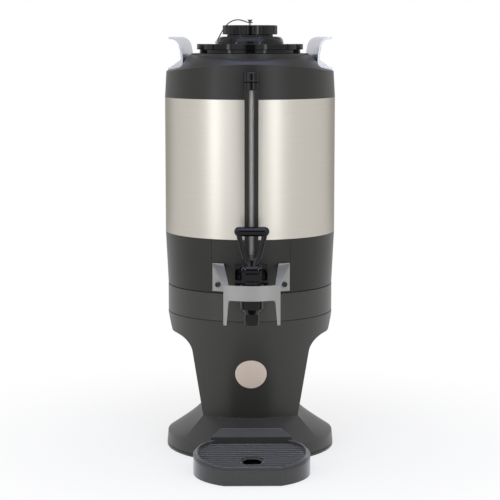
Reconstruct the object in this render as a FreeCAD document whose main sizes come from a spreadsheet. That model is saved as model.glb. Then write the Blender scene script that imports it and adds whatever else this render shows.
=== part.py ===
import FreeCAD, Part
import math
import os
import re
import Sketcher
from FreeCAD import Placement, Rotation, Vector

# Insulated coffee server with a lever faucet and sight gauge, on a pedestal stand with a drip tray.
# Millimetres. The origin is on the floor, on the server's axis. +Z is up and the faucet faces -Y.
SIZES = {
    # stand
    "base_radius": 114.6, "base_plate_height": 3.4, "base_groove": 0.9, "base_groove_depth": 2.2,
    "rim_draft": 1.4, "rim_radius": "=base_radius - rim_draft", "rim_height": 19.5, "flare_height": 49.0,
    "column_inset": 2.6, "column_radius": "=base_radius - column_inset", "column_lean": 44.0,
    "foot_inset": 47.6, "foot_half": "=column_radius - foot_inset", "neck_inset": 34.0,
    "neck_half": "=column_radius - neck_inset", "neck_height": 140.0, "lobe_inset": 6.5,
    "lobe_half": "=column_radius - lobe_inset", "lobe_height": 162.5, "lobe_round": 4.0,
    "ring_height": 188.0, "stand_height": 225.2, "ring_wall": 4.0, "ring_floor": 6.0, "stand_wall": 5.0,
    "base_screw_inset": 26.6, "base_screw_circle": "=base_radius - base_screw_inset", "screw_start": 45.0,
    "screw_radius": 2.0, "screw_head_radius": 4.0, "screw_head_height": 2.0, "screw_length": 10.0,
    "socket_radius": 1.8, "socket_depth": 1.3,
    "badge_radius": 20.9, "badge_thick": 1.2, "badge_height": 114.0,
    # server casing
    "seam_gap": 1.0, "server_radius": 115.0, "ring_inset": 3.2, "ring_radius": "=server_radius - ring_inset",
    "skirt_taper": 3.4, "skirt_foot_radius": "=server_radius - skirt_taper", "skirt_height": 71.0,
    "shell_height": 181.5, "shell_wall": 1.2, "casing_wall": 3.0, "panel_half_angle": 27.0,
    "panel_gap": 0.3, "bottom_thick": 5.0, "nest_clearance": 0.6,
    "wall_height": 34.5, "wall_taper": 2.0, "slope_half_x": 78.7, "slope_half_y": 93.7,
    "slope_angle": 34.0, "slope_height": 57.7, "plateau_half_x": 79.0, "plateau_half_y": 103.0,
    "plateau_height": 58.3, "neck_radius": 60.0,
    # handles
    "handle_thick": 3.0, "handle_width": 72.0, "handle_turn": 10.0, "handle_inner": 88.0,
    "handle_reach": 104.4, "handle_top": 80.3, "handle_foot_height": 42.6, "handle_foot_angle": 10.0,
    "handle_foot_length": 19.5, "handle_heel_radius": 7.0, "handle_lean": 14.0, "handle_curl_radius": 13.0,
    "handle_rib": 10.0, "handle_screw_spacing": 40.0, "seat_room": 4.5, "seat_clearance": 0.4,
    # flask
    "flask_inset": 20.0, "flask_radius": "=server_radius - flask_inset", "flask_space": 6.0,
    "flask_outer_radius": "=flask_radius + flask_space", "flask_wall": 1.5, "flask_gap": 3.0,
    "flask_chamfer": 14.0, "flask_shoulder": 6.0, "flask_cone": 30.0, "flask_neck_radius": 52.0,
    "flask_neck_wall": 2.0, "seal_height": 6.0,
    # lid and fill cap
    "flange_radius": 71.7, "flange_thick": 7.4, "flange_foot_radius": 68.0, "flange_foot": 5.2,
    "dome_radius": 45.5, "dome_top_radius": 39.5, "dome_height": 9.8,
    "notch_width": 3.0, "notch_depth": 1.2, "notch_angle": 43.0,
    "plug_depth": 30.0, "plug_clearance": 1.5, "fill_bore": 25.0,
    "gasket_section": 2.6,
    "cap_radius": 36.9, "cap_height": 12.4, "cap_lobes": 22.0, "cap_flute_radius": 4.2,
    "cap_flute_depth": 1.2, "cap_gap": 2.7, "cap_neck_radius": 31.0, "cap_skirt_depth": 8.0,
    "cap_skirt_wall": 3.0, "thread_clearance": 0.6, "cap_edge": 1.4,
    "post_radius": 1.6, "post_head_radius": 3.5, "post_head": 1.8, "post_reach": 7.6, "post_foot_radius": 5.0,
    "running_clearance": 0.05,
    "stud_radius": 1.6, "stud_height": 3.5, "stud_head_radius": 2.6, "stud_head": 1.2,
    "stud_out": 65.4, "tether_diameter": 1.5,
    # sight gauge
    "gauge_width": 17.8, "gauge_offset": 10.6, "gauge_slot": 7.0, "gauge_wall": 2.2, "gauge_bottom": 42.0,
    "gauge_height": 223.5, "tube_radius": 5.0, "tube_wall": 1.0, "collar_radius": 10.3,
    "collar_height": 10.6, "gauge_cap_height": 12.2, "gauge_lip": 0.7, "gauge_round": 2.0,
    # faucet
    "faucet_reach": 50.0, "faucet_height": 13.8, "plate_width": 43.0, "plate_height": 36.0,
    "plate_thick": 4.0, "plate_drop": 2.0, "boss_radius": 18.5, "boss_length": 22.0, "boss_rise": 9.0,
    "boss_tip_radius": 11.0, "boss_drop": 2.0, "barrel_rise": 6.2,
    "barrel_radius": 15.4, "barrel_height": 31.0, "barrel_taper": 7.0, "spout_radius": 10.0,
    "spout_length": 14.0, "spout_bore": 6.5, "shank_radius": 7.0, "shank_bore": 4.5,
    "nut_radius": 10.5, "nut_thick": 6.0, "bonnet_height": 18.0, "lug_thick": 4.3, "lug_radius": 7.2,
    "wing_half": 21.3, "wing_rise": 0.4, "wing_thick": 5.2, "wing_depth": 11.0, "bonnet_collar": 4.0,
    "pin_radius": 2.0, "pin_length": 26.0, "stem_radius": 3.0, "stem_clearance": 0.05,
    "seat_radius": 9.0, "seat_height": 12.0,
    "lever_gap": 0.4, "tang_half": 8.2, "tang_radius": 8.0, "hood_half": 12.4, "hood_height": 19.0,
    "window_radius": 5.4, "lever_height": 56.0, "lever_bar_width": 45.0, "lever_bar_height": 12.4,
    "strut_width": 7.2, "strut_depth": 8.6, "strut_root": 14.0, "strut_foot": 8.2, "strut_bend": 32.5,
    "strut_middle": 13.4, "strut_top": 17.0,
    # faucet guard
    "pad_width": 15.0, "pad_inner": "=skirt_foot_radius * sin(panel_half_angle * 1 deg) - pad_width",
    "pad_height": 37.0, "pad_bottom": 2.4, "guard_thick": 3.0,
    "band_overlap": 0.7, "band_half": "=pad_inner + band_overlap", "band_radius": 60.0, "band_height": 19.3,
    "band_bottom": 1.2, "band_gap": 3.0,
    "prong_width": 4.0, "prong_length": 32.5, "prong_root": 6.4, "arch_radius": 4.5, "arm_tip_width": 6.6,
    "guard_screw_height": 9.0, "guard_screw_head": 3.4,
    # drip tray
    "tray_half": 75.8, "tray_wide_at": 162.0, "tray_front": 227.0, "tray_front_half": 36.0,
    "tray_front_height": 22.0, "tray_cheek_half": 60.0, "tray_cheek_at": 207.0, "tray_flank_half": 73.5,
    "tray_flank_at": 140.0, "tray_back_half": 64.0, "tray_back_at": 122.0, "tray_back_height": 31.5,
    "tray_wall": 6.0, "tray_back_wall": 2.4,
    "tray_floor": 3.0, "tray_bevel": 4.0, "tray_clearance": 0.6, "tongue_half": 40.4,
    "tongue_foot_half": 53.4, "tongue_foot_height": 35.5, "tongue_top": 85.5, "tongue_edge": 1.4,
    "grille_thick": 2.5, "grille_clearance": 0.5, "grille_sink": 5.0, "rib_pitch": 7.2, "rib_width": 3.2,
    "rib_height": 1.1, "drip_hole": 13.0, "drip_hole_at": 184.0, "drip_rim": 4.5,
}
SPACE = 200.0
SCREW_COUNT = 4
OCTAGON = 8
HEXAGON = 6
ROUND_STEPS = 6

doc = FreeCAD.newDocument("coffee_server")
sheet = doc.addObject("Spreadsheet::Sheet", "Sizes")
for row, (alias, number) in enumerate(SIZES.items(), 1):
    sheet.set("A%d" % row, alias)
    sheet.set("B%d" % row, str(number))
    sheet.setAlias("B%d" % row, alias)
doc.recompute()
PIECES = []


def cell(text):
    """Expression text in which each size is read from the sheet."""
    return re.sub(r"[a-z]\w*", lambda word: "Sizes." + word.group() if word.group() in SIZES
                  else word.group(), text)


def size(text):
    """Number that an expression in the sizes comes to."""
    return float(sheet.evalExpression(text))


def bind(item, **properties):
    """Bind properties of a document object to expressions in the sizes; x, y and z are its position."""
    for name, text in properties.items():
        target = "Placement.Base." + name if name in "xyz" else name
        item.setExpression(target, cell(text))


def piece(item, label):
    """Name a finished sub-part and keep it for export."""
    item.Label = label
    PIECES.append(item)
    return item


def sketch_of(body, plane, points):
    """Closed outline in one of a body's planes, every corner held by two sizes."""
    planes = {feature.Role: feature for feature in body.Origin.OriginFeatures}
    sketch = body.newObject("Sketcher::SketchObject", body.Name + "_outline")
    sketch.AttachmentSupport = [(planes[plane], "")]
    sketch.MapMode = "FlatFace"
    corners = [Vector(size(across), size(up), 0) for across, up in points]
    count = len(points)
    for index in range(count):
        sketch.addGeometry(Part.LineSegment(corners[index], corners[(index + 1) % count]), False)
    for index in range(count):
        sketch.addConstraint(Sketcher.Constraint("Coincident", index, 2, (index + 1) % count, 1))
    for index, (across, up) in enumerate(points):
        for kind, text, start in (("DistanceX", across, corners[index].x),
                                  ("DistanceY", up, corners[index].y)):
            number = sketch.addConstraint(Sketcher.Constraint(kind, -1, 1, index, 1, start))
            sketch.setExpression("Constraints[%d]" % number, cell(text))
    return sketch


def turned(name, points, sweep=None, facing=0):
    """Body turned about Z from (radius, height) corners; sweep limits it to an arc centred on facing."""
    body = doc.addObject("PartDesign::Body", name)
    sketch = sketch_of(body, "XZ_Plane", points)
    turn = body.newObject("PartDesign::Revolution", name + "_turn")
    turn.Profile = sketch
    turn.ReferenceAxis = (sketch, ["V_Axis"])
    turn.Angle = 360
    if sweep:
        turn.Midplane = True
        bind(turn, Angle=sweep)
        body.Placement.Rotation = Rotation(Vector(0, 0, 1), facing)
    return body


def padded(name, plane, points, depth):
    """Body padded to both sides of one of its planes from an outline."""
    body = doc.addObject("PartDesign::Body", name)
    pad = body.newObject("PartDesign::Pad", name + "_pad")
    pad.Profile = sketch_of(body, plane, points)
    pad.Midplane = True
    bind(pad, Length=depth)
    return body


def rod(name, radius, height, direction=Vector(0, 0, 1), **at):
    """Cylinder from a point along a direction."""
    item = doc.addObject("Part::Cylinder", name)
    item.Placement.Rotation = Rotation(Vector(0, 0, 1), direction)
    bind(item, Radius=radius, Height=height, **at)
    return item


def block(name, length, width, height, **at):
    """Box from its lowest corner."""
    item = doc.addObject("Part::Box", name)
    bind(item, Length=length, Width=width, Height=height, **at)
    return item


def joined(name, *items):
    """One solid from several."""
    item = doc.addObject("Part::MultiFuse", name)
    item.Shapes = list(items)
    item.Refine = True
    return item


def shared(name, *items):
    """The space that all the solids share."""
    item = doc.addObject("Part::MultiCommon", name)
    item.Shapes = list(items)
    return item


def cut(name, base, *tools):
    """A solid less one or several others."""
    item = doc.addObject("Part::Cut", name)
    item.Base = base
    item.Tool = tools[0] if len(tools) == 1 else joined(name + "_tools", *tools)
    return item


def solid(name, shape):
    """A form that no primitive gives, worked out from the sheet's numbers."""
    item = doc.addObject("Part::Feature", name)
    item.Shape = shape
    return item


def circle_points(circle, count, up, start):
    """Points spread evenly on a level circle, the first at a starting angle."""
    points = []
    for index in range(count):
        angle = math.radians(size(start)) + 2 * math.pi * index / count
        points.append(Vector(size(circle) * math.cos(angle), size(circle) * math.sin(angle), size(up)))
    return points


def ring_of(name, radius, height, circle, count, up, start="screw_start"):
    """Group of equal upright rods on a circle."""
    shapes = [Part.makeCylinder(size(radius), size(height), centre)
              for centre in circle_points(circle, count, up, start)]
    return solid(name, Part.makeCompound(shapes))


def rounding(across, up, wide, high):
    """Corners of an outline along a quarter round, from its side at full width to its top."""
    corners = []
    for step in range(ROUND_STEPS + 1):
        turn = 90.0 * step / ROUND_STEPS
        corners.append(("%s - %s * (1 - cos(%g deg))" % (across, wide, turn),
                        "%s - %s * (1 - sin(%g deg))" % (up, high, turn)))
    return corners


def screw(place, direction, head_radius):
    """Pan-head screw with a hexagon socket: place is under the head, and direction points out of it."""
    head_height = size("screw_head_height")
    head = Part.makeCylinder(head_radius, head_height, place, direction)
    shank = Part.makeCylinder(size("screw_radius"), size("screw_length"), place, direction * -1)
    turn = Rotation(Vector(0, 0, 1), direction)
    radius = size("socket_radius")
    corners = [place + turn.multVec(Vector(radius * math.cos(corner), radius * math.sin(corner), head_height))
               for corner in (side * math.pi / HEXAGON * 2 for side in range(HEXAGON))]
    socket = Part.Face(Part.makePolygon(corners + corners[:1])).extrude(direction * -size("socket_depth"))
    return head.fuse(shank).removeSplitter().cut(socket)


def screws_of(name, places, direction):
    """Group of like screws: each place is under a head, and direction points out of the heads."""
    shapes = [screw(place, direction, size("screw_head_radius")) for place in places]
    return solid(name, Part.makeCompound(shapes))


# Heights and places that several pieces share, as expressions in the sizes.
PLATE_TOP = "(base_plate_height + base_groove)"
CRADLE_FLOOR = "(ring_height + ring_floor)"
SKIRT_BOTTOM = "(stand_height + seam_gap)"
SHELL_BOTTOM = "(stand_height + seam_gap + skirt_height)"
SHELL_TOP = "(stand_height + seam_gap + skirt_height + shell_height)"
LID_SEAT = "(%s + plateau_height)" % SHELL_TOP
FLANGE_BOTTOM = "(%s + flange_foot)" % LID_SEAT
FLANGE_TOP = "(%s + flange_thick)" % FLANGE_BOTTOM
DOME_TOP = "(%s + dome_height)" % FLANGE_TOP
CAP_BOTTOM = "(%s + cap_gap)" % DOME_TOP
CAP_TOP = "(%s + cap_height)" % CAP_BOTTOM
BOTTOM_RADIUS = "(ring_radius - ring_wall - nest_clearance)"
FAUCET_Y = "(-skirt_foot_radius - faucet_reach)"
FAUCET_Z = "(%s + faucet_height)" % SKIRT_BOTTOM
HOLE = "(screw_radius + running_clearance)"


def arc(first, middle, last):
    return Part.Arc(first, middle, last).toShape()


def line(first, last):
    return Part.LineSegment(first, last).toShape()


def polygon_face(corners):
    """Flat face from its corners."""
    return Part.Face(Part.makePolygon(corners + corners[:1]))


def flared_foot(grow):
    """Rim wall and four-sided flare between the round foot and the column, grown by a clearance."""
    half = size("foot_half") + grow
    radius = size("column_radius") + grow
    lean = size("column_lean")
    corner = math.sqrt(radius ** 2 - half ** 2) - lean
    top = size("flare_height")
    rim = size("rim_radius") + grow
    low = size("rim_height")
    turn = math.atan2(half, corner)
    outlines = []
    for across, deep, side, front, height in (
            (half, corner, half, radius - lean, top),
            (rim * math.sin(turn), rim * math.cos(turn), rim, rim, low)):
        front_left = Vector(-across, -deep, height)
        front_right = Vector(across, -deep, height)
        back_right = Vector(across, deep, height)
        back_left = Vector(-across, deep, height)
        right = arc(front_right, Vector(side, 0, height), back_right) if side > across else line(
            front_right, back_right)
        left = arc(back_left, Vector(-side, 0, height), front_left) if side > across else line(
            back_left, front_left)
        outlines.append(Part.Wire([arc(front_left, Vector(0, -front, height), front_right), right,
                                   arc(back_right, Vector(0, front, height), back_left), left]))
    flare = Part.makeLoft([outlines[1], outlines[0]], True, True)
    bottom = size(PLATE_TOP)
    wall = Part.makeCone(size("base_radius") + grow, rim, low - bottom, Vector(0, 0, bottom))
    return flare.fuse(wall).removeSplitter()


def column_sides():
    """The column's side outline, with its hollow under the lobes, taken right through from front to back."""
    foot = Vector(size("foot_half"), 0, size("flare_height"))
    neck = Vector(size("neck_half"), 0, size("neck_height"))
    lobe = Vector(size("lobe_half"), 0, size("lobe_height"))
    top = Vector(size("column_radius"), 0, size("ring_height"))
    along = (neck - foot).normalize()
    outward = Vector(along.z, 0, -along.x)
    reach = lobe - neck
    radius = reach.dot(reach) / (2 * reach.dot(outward))
    centre = neck + outward * radius
    middle = ((neck - centre).normalize() + (lobe - centre).normalize()).normalize()
    hollow = centre + middle * radius
    right = [foot, neck, hollow, lobe, top]
    left = [Vector(-point.x, 0, point.z) for point in right]
    edges = []
    for foot, neck, hollow, lobe, top in (right, left):
        edges += [line(foot, neck), arc(neck, hollow, lobe), line(lobe, top)]
    edges += [line(right[0], left[0]), line(right[-1], left[-1])]
    face = Part.Face(Part.Wire(Part.__sortEdges__(edges)))
    face.translate(Vector(0, -SPACE, 0))
    sides = face.extrude(Vector(0, 2 * SPACE, 0))
    tips = [edge for edge in sides.Edges
            if abs(edge.CenterOfMass.y) < 1 and abs(edge.CenterOfMass.z - lobe.z) < size("lobe_round") / 2]
    return sides.makeFillet(size("lobe_round"), tips)


def leaning_drum(name, lean, grow="0"):
    """Drum of the column's radius that leans from the ring towards the foot."""
    ends = []
    for end, (shift, height) in enumerate(((lean, "flare_height"), ("0", "ring_height"))):
        circle = doc.addObject("Part::Circle", "%s_end_%d" % (name, end))
        bind(circle, Radius="column_radius + " + grow, y=shift, z=height)
        ends.append(circle)
    drum = doc.addObject("Part::Loft", name)
    drum.Sections = ends
    drum.Solid = True
    drum.Ruled = True
    return drum


def make_stand():
    """Pedestal column with its flared foot, base plate, cradle ring and bare round badge."""
    faced = shared("column_faced", leaning_drum("column_front", "column_lean"),
                   solid("column_sides", column_sides()))
    column = shared("column", faced, leaning_drum("column_back", "-column_lean"))
    outer = joined("stand_outer", column, solid("flared_foot", flared_foot(0)))
    waist = "(min(foot_half; column_radius - column_lean) - stand_wall)"
    cavity = turned("stand_cavity", [
        ("0", PLATE_TOP), ("rim_radius - stand_wall", PLATE_TOP),
        ("rim_radius - stand_wall", "rim_height - stand_wall"), (waist, "flare_height"),
        ("neck_half - stand_wall", "neck_height"), ("lobe_half - 3 * stand_wall", "lobe_height"),
        ("lobe_half - 3 * stand_wall", "ring_height - stand_wall"), ("0", "ring_height - stand_wall")])
    bosses = ring_of("base_bosses", "2 * screw_head_radius", "(rim_height + flare_height) / 2 - stand_wall"
                     " - %s" % PLATE_TOP, "base_screw_circle", SCREW_COUNT, PLATE_TOP)
    boss_holes = ring_of("boss_holes", HOLE, "screw_length", "base_screw_circle", SCREW_COUNT, PLATE_TOP)
    piece(cut("stand_column_cut", joined("stand_bossed", cut("stand_shell", outer, cavity), bosses),
              boss_holes), "stand_column")

    disc = turned("base_disc", [
        ("0", "0"), ("base_radius", "0"), ("base_radius", "base_plate_height"),
        ("base_radius - base_groove_depth", "base_plate_height"),
        ("base_radius - base_groove_depth", PLATE_TOP), ("0", PLATE_TOP)])
    sink = "(screw_head_height + base_groove / 2)"
    holes = ring_of("base_holes", HOLE, PLATE_TOP, "base_screw_circle", SCREW_COUNT, "0")
    sinks = ring_of("base_sinks", "screw_head_radius + running_clearance", sink, "base_screw_circle",
                    SCREW_COUNT, "0")
    piece(cut("base_plate_cut", disc, holes, sinks), "base_plate")
    places = circle_points("base_screw_circle", SCREW_COUNT, sink, "screw_start")
    piece(screws_of("base_screw_group", places, Vector(0, 0, -1)), "base_screws")

    piece(turned("cradle", [
        ("0", "ring_height"), ("ring_radius - base_groove", "ring_height"),
        ("ring_radius - base_groove", "ring_height + base_groove"),
        ("ring_radius", "ring_height + base_groove"), ("ring_radius", "stand_height"),
        ("ring_radius - ring_wall", "stand_height"), ("ring_radius - ring_wall", CRADLE_FLOOR),
        ("0", CRADLE_FLOOR)]), "cradle_ring")

    rise = (size("badge_height") - size("flare_height")) / (size("ring_height") - size("flare_height"))
    front = size("column_radius") - size("column_lean") * (1 - rise)
    tilt = math.atan2(size("column_lean"), size("ring_height") - size("flare_height"))
    facing = Vector(0, -math.cos(tilt), -math.sin(tilt))
    centre = Vector(0, -front, size("badge_height")) - facing * size("badge_radius")
    punch = solid("badge_punch", Part.makeCylinder(size("badge_radius"), 2 * size("badge_radius"),
                                                   centre, facing))
    skin = cut("badge_skin", leaning_drum("badge_outer", "column_lean", "badge_thick"),
               leaning_drum("badge_inner", "column_lean"))
    piece(shared("badge_disc", skin, punch), "badge")


def make_casing():
    """Skirt, its front panel, steel shell and bottom pan of the server."""
    lip = "(%s - 4 * casing_wall)" % BOTTOM_RADIUS
    profile = [("skirt_foot_radius", SKIRT_BOTTOM), ("server_radius", SHELL_BOTTOM),
               ("server_radius - casing_wall", SHELL_BOTTOM),
               ("skirt_foot_radius - casing_wall", SKIRT_BOTTOM + " + casing_wall"),
               (lip, SKIRT_BOTTOM + " + casing_wall"), (lip, SKIRT_BOTTOM)]
    skirt = turned("skirt_arc", profile, "360 - 2 * panel_half_angle", 90)
    panel = turned("panel_arc", profile, "2 * panel_half_angle - panel_gap", -90)
    screw_circle = "(%s - 2 * casing_wall)" % BOTTOM_RADIUS
    lip_holes = ring_of("lip_holes", HOLE, "2 * casing_wall", screw_circle, SCREW_COUNT, SKIRT_BOTTOM)
    piece(cut("skirt_cut", skirt, lip_holes), "bottom_skirt")
    shank_hole = rod("panel_hole", "shank_radius + running_clearance", "2 * faucet_reach",
                     Vector(0, 1, 0), y=FAUCET_Y, z=FAUCET_Z)
    guard_holes = solid("guard_holes", Part.makeCompound(guard_bolts()[0]))
    piece(cut("panel_cut", panel, shank_hole, guard_holes), "skirt_front_panel")
    piece(turned("shell_tube", [
        ("server_radius - shell_wall", SHELL_BOTTOM), ("server_radius", SHELL_BOTTOM),
        ("server_radius", SHELL_TOP), ("server_radius - shell_wall", SHELL_TOP)]), "body_shell")
    pan = turned("pan_dish", [
        ("0", CRADLE_FLOOR), (BOTTOM_RADIUS, CRADLE_FLOOR), (BOTTOM_RADIUS, SKIRT_BOTTOM),
        (lip, SKIRT_BOTTOM), (lip, CRADLE_FLOOR + " + bottom_thick"), ("0", CRADLE_FLOOR + " + bottom_thick")])
    pan_holes = ring_of("pan_holes", HOLE, "screw_length", screw_circle, SCREW_COUNT,
                        SKIRT_BOTTOM + " - screw_length")
    piece(cut("pan_cut", pan, pan_holes), "server_bottom_pan")
    places = circle_points(screw_circle, SCREW_COUNT, SKIRT_BOTTOM + " + casing_wall", "screw_start")
    piece(screws_of("pan_screw_group", places, Vector(0, 0, 1)), "bottom_screws")


def handle_frame(side):
    """Placement that turns the handle's own plane, X outwards, to its place on one side."""
    turn = size("handle_turn")
    return Placement(Vector(), Rotation(Vector(0, 0, 1), turn if side > 0 else 180 - turn))


def seat_prism(side, inner, low, high, spare):
    """Slab along the handle's foot plane, outwards from a distance, open to the front of the server."""
    slope = math.tan(math.radians(size("handle_foot_angle")))
    start = size("handle_inner")
    level = size("%s + handle_foot_height" % SHELL_TOP)
    outer = size("server_radius + handle_thick")
    back = side * (size("handle_width / 2") + spare)
    corners = [Vector(across, back, level + offset - slope * (across - start))
               for across, offset in ((inner, low), (outer, low), (outer, high), (inner, high))]
    slab = polygon_face(corners).extrude(Vector(0, -side * SPACE, 0))
    slab.Placement = handle_frame(side)
    return slab


def make_shoulder():
    """Top moulding: tapered wall, oval slope and plateau, with a flat seat for each handle's foot."""
    wall = doc.addObject("Part::Cone", "shoulder_wall")
    bind(wall, Radius1="server_radius", Height="plateau_height", z=SHELL_TOP,
         Radius2="server_radius - wall_taper * plateau_height / wall_height")
    ovals = []
    for end, (down, widen) in enumerate((
            ("plateau_height", "plateau_height / tan(slope_angle * 1 deg)"), ("0", "0"))):
        oval = doc.addObject("Part::Ellipse", "slope_oval_%d" % end)
        oval.Placement.Rotation = Rotation(Vector(0, 0, 1), 90)
        bind(oval, MajorRadius="slope_half_y + " + widen, MinorRadius="slope_half_x + " + widen,
             z="%s + slope_height - %s" % (SHELL_TOP, down))
        ovals.append(oval)
    slope = doc.addObject("Part::Loft", "shoulder_slope")
    slope.Sections = ovals
    slope.Solid = True
    slope.Ruled = True
    sloped = shared("shoulder_sloped", wall, slope)
    oval = Part.Ellipse(Vector(), size("plateau_half_y"), size("plateau_half_x")).toShape()
    plateau_face = Part.Face(Part.Wire([oval]))
    plateau_face.rotate(Vector(), Vector(0, 0, 1), 90)
    plateau_face.translate(Vector(0, 0, size(SHELL_TOP)))
    plateau = solid("plateau", plateau_face.extrude(Vector(0, 0, size("plateau_height"))))
    outer = joined("shoulder_outer", sloped, plateau)
    ceiling = "(%s - 2 * casing_wall)" % LID_SEAT
    cavity = turned("shoulder_cavity", [
        ("0", SHELL_TOP), ("server_radius - casing_wall", SHELL_TOP),
        ("server_radius - wall_taper - casing_wall", SHELL_TOP + " + wall_height - casing_wall"),
        ("slope_half_x - casing_wall", ceiling), ("0", ceiling)])
    mouth = rod("shoulder_mouth", "neck_radius", "plateau_height", z=SHELL_TOP)
    thick = size("handle_thick")
    lean = math.radians(size("handle_foot_angle"))
    floor = -thick / 2 * (1 + math.tan(lean) + 1 / math.cos(lean))
    gap = size("seat_clearance")
    inner = size("handle_inner") - thick - size("seat_room")
    seats = [seat_prism(side, inner - 2 * thick, floor - 3 * thick, SPACE, thick) for side in (1, -1)]
    pockets = [seat_prism(side, inner, floor, SPACE, gap) for side in (1, -1)]
    room = cut("shoulder_room", cavity, solid("seat_slabs", Part.makeCompound(seats)))
    hollowed = cut("shoulder_hollow", outer, room, mouth)
    tapped = solid("handle_taps", Part.makeCompound(
        [shape for side in (1, -1) for shape in handle_bolts(side, size(HOLE))]))
    seated = cut("shoulder_seated", hollowed, solid("seat_pockets", Part.makeCompound(pockets)))
    piece(cut("shoulder_cut", seated, tapped), "top_shoulder")


def handle_bolt_places(side):
    """Points on top of a handle's foot where its two screws go, and the direction out of the foot."""
    angle = math.radians(size("handle_foot_angle"))
    across = size("handle_foot_length") / 2
    level = size("%s + handle_foot_height" % SHELL_TOP)
    frame = handle_frame(side)
    places = [frame.multVec(Vector(size("handle_inner") + across, half * size("handle_screw_spacing") / 2,
                                   level - across * math.tan(angle))) for half in (-1, 1)]
    return places, frame.Rotation.multVec(Vector(math.sin(angle), 0, math.cos(angle)))


def handle_bolts(side, radius):
    """Straight rods through a handle's foot where its screws go."""
    places, normal = handle_bolt_places(side)
    length = size("screw_length")
    return [Part.makeCylinder(radius, 2 * length, place - normal * length, normal) for place in places]


def make_handles():
    """Cast-plate handles: ribbed foot on the shoulder, riser curving outwards to a finger lip."""
    thick = size("handle_thick")
    inner = size("handle_inner") - thick / 2
    top = size("%s + handle_top" % SHELL_TOP) - thick / 2
    level = size("%s + handle_foot_height" % SHELL_TOP) - thick / 2
    foot_angle = math.radians(size("handle_foot_angle"))
    foot = size("handle_foot_length")
    corner = Vector(inner, 0, level)
    along_foot = Vector(math.cos(foot_angle), 0, -math.sin(foot_angle))
    heel_radius = size("handle_heel_radius")
    half_corner = (math.pi / 2 + foot_angle) / 2
    tangent = heel_radius / math.tan(half_corner)
    inwards = Vector(math.sin(half_corner), 0, math.cos(half_corner))
    heel = corner + along_foot * tangent
    heel_middle = corner + inwards * (heel_radius / math.sin(half_corner) - heel_radius)
    riser = corner + Vector(0, 0, tangent)
    lean = math.radians(size("handle_lean"))
    curl_radius = size("handle_curl_radius")
    shift = (top - curl_radius - riser.z) / math.sin(lean)
    riser_centre = riser + Vector(shift + curl_radius, 0, 0)
    curl_centre = riser_centre + Vector(-math.cos(lean), 0, math.sin(lean)) * shift

    def around(centre, radius, angle):
        return centre + Vector(-math.cos(angle), 0, math.sin(angle)) * radius

    bent = around(curl_centre, curl_radius, lean)
    curl = around(curl_centre, curl_radius, math.pi / 2)
    path = Part.Wire([
        line(corner + along_foot * foot, heel), arc(heel, heel_middle, riser),
        arc(riser, around(riser_centre, shift + curl_radius, lean / 2), bent),
        arc(bent, around(curl_centre, curl_radius, (lean + math.pi / 2) / 2), curl),
        line(curl, Vector(size("handle_reach"), 0, top))])
    width = size("handle_width")
    sides = [path.makeOffset2D(offset, 0, False, True) for offset in (thick / 2, -thick / 2)]
    ends = [line(sides[0].OrderedVertexes[end].Point, sides[1].OrderedVertexes[end].Point)
            for end in (0, -1)]
    face = Part.Face(Part.Wire(Part.__sortEdges__(sides[0].Edges + sides[1].Edges + ends)))
    face.translate(Vector(0, -width / 2, 0))
    plate = face.extrude(Vector(0, width, 0))
    web = polygon_face([corner, corner + along_foot * foot, corner + Vector(0, 0, size("handle_rib"))])
    ribs = [web.translated(Vector(0, end, 0)).extrude(Vector(0, thick, 0))
            for end in (-width / 2, width / 2 - thick)]
    plate = plate.multiFuse(ribs).removeSplitter()
    for side, label in ((-1, "handle_left"), (1, "handle_right")):
        shape = plate.copy()
        shape.Placement = handle_frame(side)
        holes = Part.makeCompound(handle_bolts(side, size(HOLE)))
        piece(solid(label + "_plate", shape.cut(holes)), label)
    groups = []
    for side in (-1, 1):
        places, normal = handle_bolt_places(side)
        groups.append(screws_of("handle_screw_group_%d" % (side + 2), places, normal).Shape)
    piece(solid("handle_screw_set", Part.makeCompound(groups)), "handle_screws")


def make_flask():
    """Double-walled steel flask with its neck seal and the gasket round its outlet."""
    outlet = rod("flask_outlet", "shank_radius + running_clearance", "faucet_reach * 2", Vector(0, 1, 0),
                 y=FAUCET_Y, z=FAUCET_Z)
    neck = "(flask_neck_radius + flask_neck_wall)"
    neck_top = "(%s - seat_clearance)" % LID_SEAT
    low = "(%s + casing_wall)" % SKIRT_BOTTOM
    for name, label, radius, drop in (("outer", "flask_outer", "flask_outer_radius", "0"),
                                      ("inner", "flask_inner", "flask_radius", "(flask_wall + flask_gap)")):
        bottom = "(%s + %s)" % (low, drop)
        side = "(%s + flask_shoulder - %s)" % (SHELL_TOP, drop)
        mouth = "(%s + flask_cone - %s)" % (side, drop)
        outside = [("0", bottom), (radius + " - flask_chamfer", bottom),
                   (radius, bottom + " + flask_chamfer"), (radius, side), (neck, mouth)]
        inside = [(radius + " - flask_wall", side + " - flask_wall"),
                  (radius + " - flask_wall", bottom + " + flask_chamfer"),
                  (radius + " - flask_chamfer - flask_wall / 2", bottom + " + flask_wall"),
                  ("0", bottom + " + flask_wall")]
        throat = [(neck, mouth + " - 2 * flask_wall")]
        if name == "inner":
            throat = [(neck, neck_top), ("flask_neck_radius", neck_top),
                      ("flask_neck_radius", mouth + " - 2 * flask_wall")]
        piece(cut(label + "_cut", turned("flask_%s_turned" % name, outside + throat + inside), outlet), label)
    seal_low = "(%s - seal_height)" % LID_SEAT
    piece(turned("seal_ring", [(neck, seal_low), ("neck_radius", seal_low), ("neck_radius", neck_top),
                               (neck, neck_top)]), "flask_neck_seal")
    gasket = rod("gasket_disc", "nut_radius", "gasket_section", Vector(0, 1, 0), y="-%s" % NUT_FACE, z=FAUCET_Z)
    piece(cut("gasket_cut", gasket, outlet), "outlet_gasket")


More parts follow.
